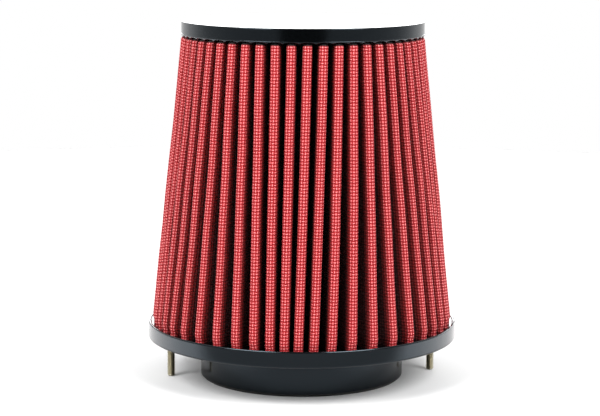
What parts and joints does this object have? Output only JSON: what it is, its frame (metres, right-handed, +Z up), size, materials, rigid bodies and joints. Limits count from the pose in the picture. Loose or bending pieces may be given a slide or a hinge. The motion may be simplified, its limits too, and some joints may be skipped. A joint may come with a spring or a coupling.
{
  "type": "performance air filter",
  "caption": "Conical air filter: a pleated cone of red woven cloth between a moulded rubber flange with a hose neck and a moulded cap with a polished disc.",
  "frame": {"origin": "centre of the hose neck's mouth, on the plane that the filter stands on", "axes": "+Z up along the cone's axis, from the neck to the cap; +X through the right stud"},
  "size_m": [0.152, 0.152, 0.1756],
  "materials": {
    "moulded_rubber": "glossy",
    "filter_cloth": "woven, lightly oiled",
    "polished_steel": "polished",
    "plated_steel": "plated, satin"
  },
  "bodies": {
    "root": {"base": "moulded_rubber", "pleated_media": "filter_cloth", "top_cap": "moulded_rubber", "top_disc": "polished_steel", "stud_left": "plated_steel", "stud_right": "plated_steel"}
  },
  "joints": []
}
